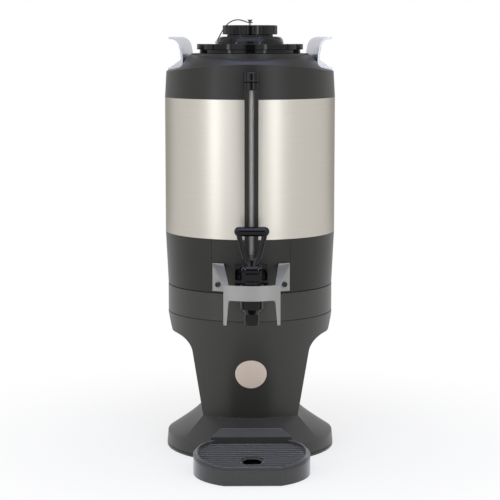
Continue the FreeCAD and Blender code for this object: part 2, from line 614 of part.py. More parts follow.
NUT_FACE = "sqrt((skirt_foot_radius - casing_wall)^2 - nut_radius^2)"
BARREL_TOP = "(%s + barrel_rise)" % FAUCET_Z
SEAT_Z = "(%s - barrel_height)" % BARREL_TOP
SPOUT_TIP = "(%s - barrel_taper - spout_length)" % SEAT_Z
PIN_Z = "(%s + bonnet_height)" % BARREL_TOP
PLATE_FRONT = "(skirt_foot_radius + plate_thick)"
GAUGE_Y = "(-server_radius - gauge_offset)"
GAUGE_BOTTOM = "(%s + gauge_bottom)" % SKIRT_BOTTOM
GAUGE_TOP = "(%s + gauge_height)" % GAUGE_BOTTOM
COLLAR_TOP = "(%s + collar_height)" % GAUGE_TOP


def skirt_cone(name):
    """Solid of the skirt's outside, which flat pieces on it are cut to."""
    cone = doc.addObject("Part::Cone", name)
    bind(cone, Radius1="skirt_foot_radius", Radius2="server_radius", Height="skirt_height", z=SKIRT_BOTTOM)
    return cone


def upright(body):
    """Move a turned body to the faucet's axis."""
    bind(body, y=FAUCET_Y)
    return body


def make_faucet():
    """Square back plate, shank, body with spout, bonnet with wings, pin, stem and seat cup."""
    fit = "(shank_radius + running_clearance)"
    plate = block("plate_block", "plate_width", "plate_thick + 3 * casing_wall", "plate_height",
                  x="-plate_width / 2", y="-%s" % PLATE_FRONT,
                  z="%s + boss_rise - plate_height / 2 - plate_drop" % FAUCET_Z)
    plate_hole = rod("plate_hole", fit, "2 * faucet_reach", Vector(0, 1, 0), y=FAUCET_Y, z=FAUCET_Z)
    piece(cut("plate_cut", plate, skirt_cone("plate_seat"), plate_hole), "faucet_escutcheon")

    inner_end = "(flask_radius - flask_chamfer)"
    outer_end = "(%s + boss_length / 2)" % PLATE_FRONT
    tube = rod("shank_tube", "shank_radius", "%s - %s" % (outer_end, inner_end), Vector(0, 1, 0),
               y="-" + outer_end, z=FAUCET_Z)
    tube_bore = rod("shank_hole", "shank_bore", "%s - %s" % (outer_end, inner_end), Vector(0, 1, 0),
                    y="-" + outer_end, z=FAUCET_Z)
    piece(cut("shank_cut", tube, tube_bore), "faucet_shank")
    nut = doc.addObject("Part::Prism", "nut_prism")
    nut.Polygon = 6
    nut.Placement.Rotation = Rotation(Vector(0, 0, 1), Vector(0, 1, 0))
    bind(nut, Circumradius="nut_radius", Height="nut_thick - gasket_section", z=FAUCET_Z,
         y="gasket_section - %s" % NUT_FACE)
    nut_hole = rod("nut_hole", fit, "2 * faucet_reach", Vector(0, 1, 0), y=FAUCET_Y, z=FAUCET_Z)
    piece(cut("nut_cut", nut, nut_hole), "shank_nut")

    barrel = upright(turned("barrel_turned", [
        ("0", SPOUT_TIP), ("spout_radius", SPOUT_TIP), ("spout_radius", SPOUT_TIP + " + spout_length"),
        ("barrel_radius", SEAT_Z), ("barrel_radius", BARREL_TOP), ("0", BARREL_TOP)]))
    ends = []
    for end, (radius, deep, height) in enumerate((
            ("boss_radius", "-%s" % PLATE_FRONT, FAUCET_Z + " + boss_rise"),
            ("boss_tip_radius", FAUCET_Y + " + barrel_radius / 2", FAUCET_Z + " - boss_drop"))):
        circle = doc.addObject("Part::Circle", "boss_end_%d" % end)
        circle.Placement.Rotation = Rotation(Vector(1, 0, 0), 90)
        bind(circle, Radius=radius, y=deep, z=height)
        ends.append(circle)
    boss = doc.addObject("Part::Loft", "boss")
    boss.Sections = ends
    boss.Solid = True
    boss.Ruled = True
    chamber = rod("chamber", "barrel_radius - casing_wall", "barrel_height", y=FAUCET_Y, z=SEAT_Z)
    above = rod("above_barrel", "barrel_radius + casing_wall", "2 * barrel_height", y=FAUCET_Y, z=BARREL_TOP)
    bore = rod("spout_hole", "spout_bore", "barrel_height * 2", y=FAUCET_Y, z=SPOUT_TIP)
    socket = rod("shank_socket", fit, "boss_length / 2", Vector(0, 1, 0), y="-" + outer_end, z=FAUCET_Z)
    inlet = rod("inlet", "shank_bore", "faucet_reach", Vector(0, 1, 0), y=FAUCET_Y, z=FAUCET_Z)
    piece(cut("body_cut", joined("body_joined", barrel, boss), chamber, above, bore, socket, inlet),
          "faucet_body")

    collar = upright(turned("bonnet_collar", [
        ("0", BARREL_TOP), ("barrel_radius", BARREL_TOP), ("barrel_radius", BARREL_TOP + " + bonnet_collar"),
        ("0", BARREL_TOP + " + bonnet_collar")]))
    outside = "(tang_half + lever_gap + lug_thick)"
    post = block("bonnet_post", "2 * " + outside, "2 * lug_radius", "bonnet_height", x="-" + outside,
                 y=FAUCET_Y + " - lug_radius", z=BARREL_TOP)
    lugs = rod("bonnet_lugs", "lug_radius", "2 * " + outside, Vector(1, 0, 0), x="-" + outside, y=FAUCET_Y,
               z=PIN_Z)
    wing_z = "(%s + wing_rise)" % BARREL_TOP
    wings = [block("wing_block", "2 * wing_half - wing_thick", "wing_depth", "wing_thick",
                   x="wing_thick / 2 - wing_half", y=FAUCET_Y + " - wing_depth / 2", z=wing_z)]
    for side, sign in (("left", "-"), ("right", "")):
        wings.append(rod("wing_" + side, "wing_thick / 2", "wing_depth", Vector(0, 1, 0),
                         x=sign + "(wing_half - wing_thick / 2)", y=FAUCET_Y + " - wing_depth / 2",
                         z=wing_z + " + wing_thick / 2"))
    room = "(tang_half + lever_gap)"
    cradle = rod("tang_room", "tang_radius + lever_gap", "2 * " + room, Vector(1, 0, 0), x="-" + room,
                 y=FAUCET_Y, z=PIN_Z)
    slot = block("hood_room", "2 * " + room, "4 * lug_radius", "2 * lug_radius", x="-" + room,
                 y=FAUCET_Y + " - 2 * lug_radius", z=PIN_Z)
    pin_hole = rod("pin_hole", "pin_radius", "2 * pin_length", Vector(1, 0, 0), x="-pin_length", y=FAUCET_Y,
                   z=PIN_Z)
    guide = rod("stem_guide", "stem_radius + stem_clearance", "bonnet_height - tang_radius", y=FAUCET_Y,
                z=BARREL_TOP)
    piece(cut("bonnet_cut", joined("bonnet_joined", collar, post, lugs, *wings), cradle, slot, pin_hole, guide),
          "faucet_bonnet")
    piece(rod("pin", "pin_radius", "pin_length", Vector(1, 0, 0), x="-pin_length / 2", y=FAUCET_Y, z=PIN_Z),
          "faucet_pin")

    grip = "(%s + seat_height / 3)" % SEAT_Z
    cup_top = "(%s + seat_height)" % SEAT_Z
    piece(upright(turned("cup_turned", [
        ("0", SEAT_Z), ("seat_radius", SEAT_Z), ("stem_radius * 2", cup_top), ("stem_radius", cup_top),
        ("stem_radius", grip), ("0", grip)])), "seat_cup")
    stem_top = "(%s + (bonnet_height - tang_radius) / 5)" % BARREL_TOP
    piece(rod("stem_rod", "stem_radius", "%s - %s" % (stem_top, grip), y=FAUCET_Y, z=grip), "faucet_stem")


def oval(name, along, across, turn, **at):
    """Level ellipse, its long axis along X or turned."""
    item = doc.addObject("Part::Ellipse", name)
    item.Placement.Rotation = Rotation(Vector(0, 0, 1), turn)
    bind(item, MajorRadius=along, MinorRadius=across, **at)
    return item


def flowing(name, sections):
    """Solid that flows smoothly through level outlines."""
    item = doc.addObject("Part::Loft", name)
    item.Sections = sections
    item.Solid = True
    return item


def make_lever():
    """Open-frame lever: tang on the pin, hood widening to two bowed struts, and a rounded grip bar."""
    crotch = "(%s + hood_height)" % PIN_Z
    bar_z = "(%s + lever_height - lever_bar_height / 2)" % PIN_Z
    tang = rod("tang", "tang_radius", "2 * tang_half", Vector(1, 0, 0), x="-tang_half", y=FAUCET_Y, z=PIN_Z)
    waist = "(tang_half - lever_gap)"
    hood = flowing("hood", [
        oval("hood_foot", waist, "0.75 * strut_depth", 0, y=FAUCET_Y, z=PIN_Z),
        oval("hood_waist", waist, "0.65 * strut_depth", 0, y=FAUCET_Y, z=PIN_Z + " + tang_radius"),
        oval("hood_top", "hood_half", "strut_depth / 2", 0, y=FAUCET_Y, z=crotch)])
    window = rod("lever_window", "window_radius", "4 * strut_depth", Vector(0, 1, 0),
                 y=FAUCET_Y + " - 2 * strut_depth", z=crotch)
    tip = "(lever_bar_width / 2)"
    round_end = rounding("lever_bar_height / 2", tip, "lever_bar_height / 2", "lever_bar_height / 2")
    half_bar = round_end[:-1] + [("0", tip)]
    bar = turned("bar_turned", [(across, "-(%s)" % along) for across, along in reversed(half_bar)] + half_bar)
    bar.Placement.Rotation = Rotation(Vector(0, 0, 1), Vector(1, 0, 0))
    bind(bar, y=FAUCET_Y, z=bar_z)
    frame = [tang, cut("hood_cut", hood, window), bar]
    for side, sign in (("left", "-"), ("right", "")):
        sections = []
        for place, across, height in (("foot", "strut_foot", PIN_Z + " + strut_root"),
                                      ("middle", "strut_middle", PIN_Z + " + strut_bend"),
                                      ("top", "strut_top", bar_z)):
            sections.append(oval("strut_%s_%s" % (place, side), "strut_depth / 2", "strut_width / 2", 90,
                                 x=sign + across, y=FAUCET_Y, z=height))
        frame.append(flowing("strut_" + side, sections))
    hole = rod("lever_hole", "pin_radius + running_clearance", "2 * pin_length", Vector(1, 0, 0),
               x="-pin_length", y=FAUCET_Y, z=PIN_Z)
    piece(cut("lever_cut", joined("lever_joined", *frame), hole), "faucet_lever")


def make_gauge():
    """Clear sight tube in a slotted shield, with its seal, collar and plain cap."""
    inner = "(gauge_width - 2 * gauge_wall)"
    depth = "(gauge_offset + gauge_width / 2)"
    front = "(-server_radius - %s)" % depth
    shield = block("shield_block", "gauge_width", depth, "gauge_height", x="-gauge_width / 2", y=front,
                   z=GAUGE_BOTTOM)
    hollow = block("shield_hollow", inner, depth + " - 1.5 * gauge_wall", "gauge_height", x="-%s / 2" % inner,
                   y=front + " + gauge_wall", z=GAUGE_BOTTOM)
    slot = block("shield_slot", "gauge_slot", "2 * gauge_wall", "gauge_height", x="-gauge_slot / 2",
                 y=front + " - gauge_wall", z=GAUGE_BOTTOM)
    piece(cut("shield_cut", shield, hollow, slot), "gauge_shield")
    tube_low = "(%s + seal_height)" % GAUGE_BOTTOM
    tube_high = "(%s + gauge_cap_height / 3)" % COLLAR_TOP
    tube = rod("tube_outside", "tube_radius", "%s - %s" % (tube_high, tube_low), y=GAUGE_Y, z=tube_low)
    lumen = rod("tube_inside", "tube_radius - tube_wall", "%s - %s" % (tube_high, tube_low), y=GAUGE_Y,
                z=tube_low)
    piece(cut("tube_cut", tube, lumen), "gauge_tube")
    seal = rod("seal_plug", "gauge_width / 2 - gauge_wall - running_clearance", "2 * seal_height", y=GAUGE_Y,
               z=GAUGE_BOTTOM)
    socket = rod("seal_socket", "tube_radius + running_clearance", "2 * seal_height", y=GAUGE_Y, z=tube_low)
    port = rod("seal_port", "tube_radius - tube_wall", "2 * seal_height", y=GAUGE_Y, z=GAUGE_BOTTOM)
    piece(cut("seal_cut", seal, socket, port), "gauge_bottom_seal")
    fit = "(tube_radius + running_clearance)"
    collar = turned("collar_turned", [
        (fit, GAUGE_TOP), ("collar_radius", GAUGE_TOP), ("collar_radius", COLLAR_TOP + " - 2 * gauge_lip"),
        ("collar_radius - gauge_lip", COLLAR_TOP + " - gauge_lip"), ("collar_radius - gauge_lip", COLLAR_TOP),
        (fit, COLLAR_TOP)])
    bind(collar, y=GAUGE_Y)
    piece(collar, "gauge_collar")
    well = "(tube_radius + seat_clearance)"
    cap_top = "(%s + gauge_cap_height)" % COLLAR_TOP
    cap = turned("gauge_cap_turned", [
        ("0", COLLAR_TOP + " + gauge_cap_height / 2"), (well, COLLAR_TOP + " + gauge_cap_height / 2"),
        (well, COLLAR_TOP), ("collar_radius + gauge_lip", COLLAR_TOP),
        ("collar_radius + gauge_lip", COLLAR_TOP + " + 2 * gauge_lip"),
        ("collar_radius", COLLAR_TOP + " + 3 * gauge_lip")]
        + rounding("collar_radius", cap_top, "gauge_round", "gauge_round") + [("0", cap_top)])
    bind(cap, y=GAUGE_Y)
    piece(cap, "gauge_cap")


def guard_bolts():
    """Straight holes through the guard's pads and the panel, and the screws in them."""
    holes = []
    screws = []
    thick = size("guard_thick")
    level = size("%s + pad_bottom + guard_screw_height" % SKIRT_BOTTOM)
    shell = size("skirt_foot_radius") + thick
    length = size("screw_length")
    for side in (-1, 1):
        turn = side * math.asin(size("pad_inner + pad_width / 2") / shell)
        outwards = Vector(math.sin(turn), -math.cos(turn), 0)
        face = outwards * (shell + size("screw_head_height") / 2) + Vector(0, 0, level)
        screws.append(screw(face, outwards, size("guard_screw_head")))
        holes.append(Part.makeCylinder(size(HOLE), 2 * length, face - outwards * length, outwards))
    return holes, screws


def make_guard():
    """Bent-plate guard round the faucet: two pads on the panel, arms, bowed band and prongs."""
    thick = size("guard_thick")
    bottom = size("%s + pad_bottom" % SKIRT_BOTTOM)
    top = bottom + size("pad_height")
    inner = size("pad_inner")
    outer = inner + size("pad_width")
    half = size("band_half")
    front = -size(FAUCET_Y) + size("barrel_radius + band_gap") + thick
    radius = size("band_radius")
    low = size("%s + band_bottom" % SKIRT_BOTTOM)
    high = low + size("band_height")
    centre = Vector(0, radius - front, low)
    ring = Part.makeCylinder(radius, high - low, centre).cut(
        Part.makeCylinder(radius - thick, high - low, centre))
    deep = size("pad_height")
    band = ring.common(Part.makeBox(2 * half, deep, high - low, Vector(-half, -front, low)))
    end = math.sqrt(radius ** 2 - half ** 2)
    end_y = radius - front - end
    foot = Vector(0, 0, size(SKIRT_BOTTOM))
    rise = size("skirt_height")
    shell = size("skirt_foot_radius")
    skirt = Part.makeCone(shell, size("server_radius"), rise, foot)
    skin = Part.makeCone(shell + thick, size("server_radius") + thick, rise, foot).cut(skirt)
    root = size("prong_root")
    arch = size("arch_radius")
    width = size("prong_width")
    tip = low - size("prong_length")
    tip_width = size("arm_tip_width")
    parts = [band]
    pad_y = -math.sqrt(size("skirt_foot_radius + pad_height * 2 / skirt_height") ** 2 - inner ** 2) - thick
    for side in (-1, 1):
        left = min(side * inner, side * outer)
        parts.append(skin.common(
            Part.makeBox(outer - inner, SPACE, top - bottom, Vector(left, -SPACE, bottom))))
        outlines = []
        for near, far, deep_at, height in ((inner, outer, pad_y + 2 * thick, top),
                                           (half - tip_width, half, end_y + thick / 2, high)):
            corners = [Vector(side * across, deep_at, up) for across, up in (
                (near, height), (far, height), (far, height - thick), (near, height - thick))]
            outlines.append(Part.makePolygon(corners + corners[:1]))
        arm = Part.makeLoft(outlines, True, True)
        parts.append(arm.cut(skirt))
        spring = half - root - arch
        bow = arch * math.sqrt(0.5)
        corners = [Vector(side * across, 0, height) for across, height in (
            (spring, low), (spring, high), (half, high), (half, tip), (half - width, tip),
            (half - root, low - arch))]
        edges = [line(first, last) for first, last in zip(corners, corners[1:])]
        edges.append(arc(corners[-1], Vector(side * (spring + bow), 0, low - arch + bow), corners[0]))
        blade = Part.Face(Part.Wire(edges))
        blade.translate(Vector(0, end_y - thick, 0))
        parts.append(blade.extrude(Vector(0, 3 * thick, 0)).common(
            Part.makeCylinder(radius, high - tip, Vector(0, radius - front, tip)).cut(
                Part.makeCylinder(radius - thick, high - tip, Vector(0, radius - front, tip)))))
    guard = parts[0].multiFuse(parts[1:]).removeSplitter()
    holes, screws = guard_bolts()
    piece(solid("guard_plate", guard.cut(Part.makeCompound(holes))), "faucet_guard")
    piece(solid("guard_screw_set", Part.makeCompound(screws)), "guard_screws")


def make_lid():
    """Flanged lid with its plug and gasket, the fluted fill cap on it, and the cap's post and tether."""
    plug = "(flask_neck_radius - plug_clearance)"
    blank = turned("lid_turned", [
        ("fill_bore", LID_SEAT), ("flange_foot_radius", LID_SEAT), ("flange_foot_radius", FLANGE_BOTTOM),
        ("flange_radius", FLANGE_BOTTOM), ("flange_radius", FLANGE_TOP)]
        + rounding("dome_radius", DOME_TOP, "(dome_radius - dome_top_radius)", "dome_height")
        + [("fill_bore", DOME_TOP)])
    notches = []
    for side, turn in (("left", "270 - notch_angle"), ("right", "270 + notch_angle")):
        notch = block("notch_" + side, "2 * notch_depth", "notch_width", "flange_thick",
                      x="(flange_radius - notch_depth) * cos((%s) * 1 deg)"
                        " + notch_width / 2 * sin((%s) * 1 deg)" % (turn, turn),
                      y="(flange_radius - notch_depth) * sin((%s) * 1 deg)"
                        " - notch_width / 2 * cos((%s) * 1 deg)" % (turn, turn), z=FLANGE_BOTTOM)
        notch.setExpression("Placement.Rotation.Angle", cell("(%s) * 1 deg" % turn))
        notches.append(notch)
    piece(cut("lid_cut", blank, *notches), "lid")
    low = "(%s - plug_depth)" % LID_SEAT
    piece(turned("plug_turned", [
        ("fill_bore", low), (plug + " - plug_depth / 5", low), (plug, low + " + plug_depth / 3"),
        (plug, LID_SEAT), ("fill_bore", LID_SEAT)]), "lid_plug")
    ring = "(%s - plug_depth / 3)" % LID_SEAT
    piece(turned("lid_gasket_turned", [
        (plug, ring), ("flask_neck_radius - seat_clearance", ring),
        ("flask_neck_radius - seat_clearance", ring + " + gasket_section"),
        (plug, ring + " + gasket_section")]), "lid_gasket")

    under = "(%s + gasket_section / 2)" % DOME_TOP
    skirt = "(fill_bore - thread_clearance)"
    skirt_low = "(%s - cap_skirt_depth)" % DOME_TOP
    roof = "(%s - cap_height / 2)" % CAP_TOP
    hole = "(post_radius + running_clearance)"
    knob = turned("cap_turned", [
        (hole, roof), (skirt + " - cap_skirt_wall", roof), (skirt + " - cap_skirt_wall", skirt_low),
        (skirt, skirt_low), (skirt, under), ("cap_neck_radius", under),
        ("cap_neck_radius", CAP_BOTTOM), ("cap_radius", CAP_BOTTOM)]
        + rounding("cap_radius", CAP_TOP, "cap_edge", "cap_edge") + [(hole, CAP_TOP)])
    flutes = ring_of("cap_flutes", "cap_flute_radius", "2 * cap_height",
                     "cap_radius + cap_flute_radius - cap_flute_depth", int(size("cap_lobes")), CAP_BOTTOM, "0")
    piece(cut("cap_cut", knob, flutes), "fill_cap")
    piece(turned("cap_gasket_turned", [
        (skirt, DOME_TOP), ("cap_neck_radius", DOME_TOP), ("cap_neck_radius", under), (skirt, under)]),
        "cap_gasket")
    foot_top = "(%s - seat_clearance)" % roof
    post_top = "(%s + post_reach)" % CAP_TOP
    piece(turned("post_turned", [
        ("0", foot_top + " - post_head"), ("post_foot_radius", foot_top + " - post_head"),
        ("post_foot_radius", foot_top), ("post_radius", foot_top),
        ("post_radius", post_top + " - 1.5 * post_head"), ("post_head_radius", post_top + " - post_head / 2"),
        ("post_head_radius", post_top), ("0", post_top)]), "cap_post")
    stud_top = "(%s + stud_height)" % FLANGE_TOP
    stud = turned("stud_turned", [
        ("0", FLANGE_TOP), ("stud_radius", FLANGE_TOP), ("stud_radius", stud_top + " - stud_head"),
        ("stud_head_radius", stud_top + " - stud_head"), ("stud_head_radius", stud_top), ("0", stud_top)])
    bind(stud, x="-stud_out * sin(notch_angle * 1 deg)", y="-stud_out * cos(notch_angle * 1 deg)")
    piece(stud, "tether_stud")
    eye = doc.addObject("Part::Torus", "eye_ring")
    bind(eye, Radius1="post_radius + tether_diameter", Radius2="tether_diameter / 2",
         z=CAP_TOP + " + post_reach / 2")
    piece(eye, "tether_eye")


# Points of the tether, from the stud on the flange over the fill cap's rim to the eye on its post.
TETHER_ROUTE = [
    (-44.6, -47.8, 553.1), (-42.4, -43.6, 557.4), (-38.6, -38.0, 564.4), (-33.2, -31.6, 573.2),
    (-25.4, -23.9, 580.0), (-16.4, -15.3, 582.0), (-9.4, -8.9, 580.6), (-4.4, -4.2, 578.6),
]


def make_tether():
    """Thin cord: straight runs joined by tangent arcs as large as the runs allow."""
    points = [Vector(*point) for point in TETHER_ROUTE]
    edges = []
    start = points[0]
    radii = []
    for before, corner, after in zip(points, points[1:], points[2:]):
        back = (before - corner).normalize()
        ahead = (after - corner).normalize()
        reach = 0.45 * min((before - corner).Length, (after - corner).Length)
        half_turn = (math.pi - back.getAngle(ahead)) / 2
        radii.append(reach / math.tan(half_turn))
        first = corner + back * reach
        last = corner + ahead * reach
        inward = (back + ahead).normalize()
        middle = corner + inward * (radii[-1] / math.cos(half_turn) - radii[-1])
        edges += [line(start, first), arc(first, middle, last)]
        start = last
    edges.append(line(start, points[-1]))
    path = Part.Wire(edges)
    radius = size("tether_diameter") / 2
    end = Part.Wire([Part.Circle(points[0], points[1] - points[0], radius).toShape()])
    tube = path.makePipeShell([end], True, False)
    print("tether radii", [round(value, 1) for value in radii], "length", round(path.Length, 1),
          "volume ratio", round(tube.Volume / (math.pi * radius ** 2 * path.Length), 4))
    piece(solid("tether_tube", tube), "tether")


def tray_outline(inset, back):
    """Plan of the drip tray, set in by a wall: flat front, round sides, drawn in to the tongue at the back."""
    nose, cheek, wide, flank, rear, tongue = (
        Vector(size(across), -size(ahead), 0) for across, ahead in (
            ("tray_front_half", "tray_front"), ("tray_cheek_half", "tray_cheek_at"),
            ("tray_half", "tray_wide_at"), ("tray_flank_half", "tray_flank_at"),
            ("tray_back_half", "tray_back_at"), ("tongue_foot_half", "rim_radius")))
    inside = Vector(tongue.x, 0, 0)
    right = [arc(nose, cheek, wide), arc(wide, flank, rear), line(rear, tongue), line(tongue, inside)]
    left = [edge.mirror(Vector(), Vector(1, 0, 0)) for edge in right]
    ends = [line(Vector(-point.x, point.y, 0), point) for point in (nose, inside)]
    wire = Part.Wire(Part.__sortEdges__(right + left + ends))
    if inset:
        wire = wire.makeOffset2D(-inset)
    front = Part.makePlane(2 * SPACE, 2 * SPACE, Vector(-SPACE, back - 2 * SPACE, 0))
    return Part.Face(wire).common(front).Faces[0]


def tray_tilt():
    """Slope of the tray's top, which rises from its front to the base."""
    run = size("tray_front - rim_radius")
    return (size("tray_back_height") - size("tray_front_height")) / run


def under_plane(face, drop, low):
    """Upright prism on an outline, from a height up to the tray's sloping top less a drop."""
    prism = face.copy()
    prism.translate(Vector(0, 0, low))
    prism = prism.extrude(Vector(0, 0, SPACE))
    front = -size("tray_front")
    slope = tray_tilt()
    level = size("tray_front_height") - drop
    corners = [Vector(-SPACE, front - SPACE, level - slope * SPACE),
               Vector(-SPACE, SPACE, level + slope * (SPACE - front)),
               Vector(-SPACE, SPACE, 3 * SPACE), Vector(-SPACE, front - SPACE, 3 * SPACE)]
    return prism.cut(polygon_face(corners).extrude(Vector(2 * SPACE, 0, 0)))


def make_tray():
    """Drip tray with a tongue over the foot's rim, and the ribbed grille with its drip hole."""
    gap = size("tray_clearance")
    wall = size("tray_wall")
    rim = size("rim_radius")
    foot = flared_foot(gap)
    plate = Part.makeCylinder(size("base_radius") + gap, size(PLATE_TOP))
    back = -rim + wall
    body = under_plane(tray_outline(0, back), 0, 0)
    bevel = size("tray_bevel")
    skin = under_plane(tray_outline(0, back), bevel, 0).fuse(under_plane(tray_outline(bevel, back), 0, 0))
    body = body.common(skin).removeSplitter()
    top = -size("tongue_top")
    slope = size("(flare_height - rim_height) / (rim_radius - column_radius + column_lean)")
    peak = size("rim_height") + slope * (rim + top) + gap + size("tongue_edge")
    well = -rim - gap - size("tray_back_wall")
    wedge = polygon_face([Vector(0, top, peak), Vector(0, well, size("tongue_foot_height")),
                          Vector(0, well, 0), Vector(0, top, 0)])
    wide = size("tongue_foot_half")
    wedge.translate(Vector(-wide, 0, 0))
    plan = polygon_face([Vector(-wide, well, 0), Vector(wide, well, 0),
                         Vector(size("tongue_half"), top, 0), Vector(-size("tongue_half"), top, 0)])
    tongue = wedge.extrude(Vector(2 * wide, 0, 0)).common(plan.extrude(Vector(0, 0, SPACE)))
    floor = size("tray_floor")
    ledge = wall / 3
    sink = size("grille_sink + grille_thick")
    hollow = under_plane(tray_outline(wall + ledge, well - ledge), sink, floor)
    seat_plan = tray_outline(wall, well)
    seat = under_plane(seat_plan, -SPACE / 4, floor).cut(under_plane(seat_plan, sink, 0))
    tray = body.fuse(tongue).cut(foot.fuse(plate)).cut(hollow.fuse(seat)).removeSplitter()
    piece(solid("tray_moulding", tray), "drip_tray")

    loose = size("grille_clearance")
    outline = tray_outline(wall + loose, well - loose)
    plate = under_plane(outline, sink - size("grille_thick"), 0).cut(under_plane(outline, sink, -SPACE / 4))
    ribs_top = under_plane(outline, sink - size("grille_thick + rib_height"), 0)
    pitch = size("rib_pitch")
    front = -size("tray_front") + wall + loose
    rear = well - loose
    count = int((rear - front - size("rib_width")) / pitch)
    bars = [Part.makeBox(2 * SPACE, size("rib_width"), SPACE, Vector(-SPACE, rear - pitch * (index + 1), 0))
            for index in range(count)]
    ribs = ribs_top.cut(under_plane(outline, sink - size("grille_thick"), 0)).common(Part.makeCompound(bars))
    centre = -size("drip_hole_at")
    top = size("tray_front_height") - sink + size("grille_thick") + tray_tilt() * (centre + size("tray_front"))
    rings = []
    for radius, height in (("drip_hole", top - size("grille_thick")), ("drip_hole + drip_rim", top)):
        corners = circle_points(radius, OCTAGON, "0", "180 / %d" % OCTAGON)
        rings.append([corner + Vector(0, centre, height) for corner in corners])
    funnel = Part.makeLoft([Part.makePolygon(ring + ring[:1]) for ring in rings], True, True)
    clear = polygon_face(rings[1]).extrude(Vector(0, 0, SPACE))
    below = polygon_face(rings[0]).extrude(Vector(0, 0, -SPACE))
    grille = plate.fuse(ribs).cut(funnel.fuse([clear, below])).removeSplitter()
    piece(solid("grille_plate", grille), "drip_grille")


def write_parts():
    """Stop on any failed feature, then write each sub-part to its own file."""
    doc.recompute()
    failed = [item.Label for item in doc.Objects if "Invalid" in item.State or "Error" in item.State]
    failed += [item.Label for item in PIECES if item.Shape.isNull() or not item.Shape.isValid()]
    if failed:
        raise RuntimeError("failed: " + ", ".join(failed))
    os.makedirs("parts", exist_ok=True)
    for item in PIECES:
        item.Shape.exportStep("parts/%s.step" % item.Label)


make_stand()
make_casing()
make_shoulder()
make_handles()
make_flask()
make_faucet()
make_lever()
make_gauge()
make_guard()
make_lid()
make_tether()
make_tray()
write_parts()
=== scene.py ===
import math

import bpy
import numpy as np
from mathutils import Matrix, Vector


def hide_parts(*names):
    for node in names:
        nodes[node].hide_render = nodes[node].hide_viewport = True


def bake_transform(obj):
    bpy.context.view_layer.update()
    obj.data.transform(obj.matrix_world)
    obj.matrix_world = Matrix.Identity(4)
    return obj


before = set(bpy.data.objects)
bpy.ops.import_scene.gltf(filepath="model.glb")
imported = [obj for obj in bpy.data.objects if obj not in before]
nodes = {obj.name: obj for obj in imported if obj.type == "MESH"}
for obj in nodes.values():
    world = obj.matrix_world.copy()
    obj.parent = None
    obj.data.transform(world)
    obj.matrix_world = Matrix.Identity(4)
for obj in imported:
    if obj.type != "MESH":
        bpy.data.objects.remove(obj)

scene = bpy.context.scene
scene.view_settings.view_transform = "Standard"
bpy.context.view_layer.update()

# The camera stands about two metres in front of the server, level with its fill cap, and looks
# slightly down, so the lid is seen almost edge-on and the tray's grille from above.
EYE = Vector((-0.032, -2.225, 0.5623))
PITCH = math.radians(7.507)
FOCAL_PIXELS = 1636.55
FRAME_PIXELS = 500
SENSOR_MM = 36.0
camera_data = bpy.data.cameras.new("camera")
camera_data.sensor_fit = "HORIZONTAL"
camera_data.sensor_width = SENSOR_MM
camera_data.lens = FOCAL_PIXELS * SENSOR_MM / FRAME_PIXELS
camera = bpy.data.objects.new("camera", camera_data)
camera.location = EYE
camera.rotation_euler = (math.pi / 2 - PITCH, 0.0, math.atan2(EYE.x, -EYE.y))
scene.collection.objects.link(camera)
scene.camera = camera

# The tether is a thin steel cord in a black vinyl sleeve, crimped to a stud on the lid's flange
# and to an eye on the fill cap's post, so that the cap can't be lost. Its route has the points of the
# CAD solid that it replaces.
TETHER_ROUTE = (
    (-0.0446, -0.0478, 0.5531), (-0.0424, -0.0436, 0.5574), (-0.0386, -0.0380, 0.5644),
    (-0.0332, -0.0316, 0.5732), (-0.0254, -0.0239, 0.5800), (-0.0164, -0.0153, 0.5820),
    (-0.0094, -0.0089, 0.5806), (-0.0044, -0.0042, 0.5786))
TETHER_DIAMETER = 0.0015
TETHER_SIDES = 14
TETHER_STEPS = 24
route_curve = bpy.data.curves.new("tether_route", "CURVE")
route_curve.dimensions = "3D"
route_curve.resolution_u = TETHER_STEPS
route_spline = route_curve.splines.new("NURBS")
route_spline.points.add(len(TETHER_ROUTE) - 1)
route_spline.points.foreach_set("co", [value for point in TETHER_ROUTE for value in (*point, 1.0)])
route_spline.order_u = 3
route_spline.use_endpoint_u = True
route = bpy.data.objects.new("tether_route", route_curve)
scene.collection.objects.link(route)
bpy.context.view_layer.update()
route_mesh = bpy.data.meshes.new_from_object(route)
tether_line = np.empty(3 * len(route_mesh.vertices))
route_mesh.vertices.foreach_get("co", tether_line)
tether_line = tether_line.reshape(-1, 3)
bpy.data.objects.remove(route)
bpy.data.meshes.remove(route_mesh)


def grid_piece(name, points, tube=False):
    """Makes a mesh from an array of points, rows along u and columns along v, as quads;
    a tube joins its last column to its first and closes the rims of its first and last rows."""
    rows, columns = points.shape[:2]
    index = np.arange(rows * columns).reshape(rows, columns)
    rims = []
    if tube:
        rims = [index[0, ::-1].tolist(), index[-1].tolist()]
        index = np.hstack([index, index[:, :1]])
    quads = np.stack([index[:-1, :-1], index[:-1, 1:], index[1:, 1:], index[1:, :-1]], -1).reshape(-1, 4)
    mesh = bpy.data.meshes.new(name)
    mesh.from_pydata(points.reshape(-1, 3).tolist(), [], quads.tolist() + rims)
    mesh.polygons.foreach_set("use_smooth", np.ones(len(mesh.polygons), bool))
    mesh.update()
    made = bpy.data.objects.new(name, mesh)
    scene.collection.objects.link(made)
    return made


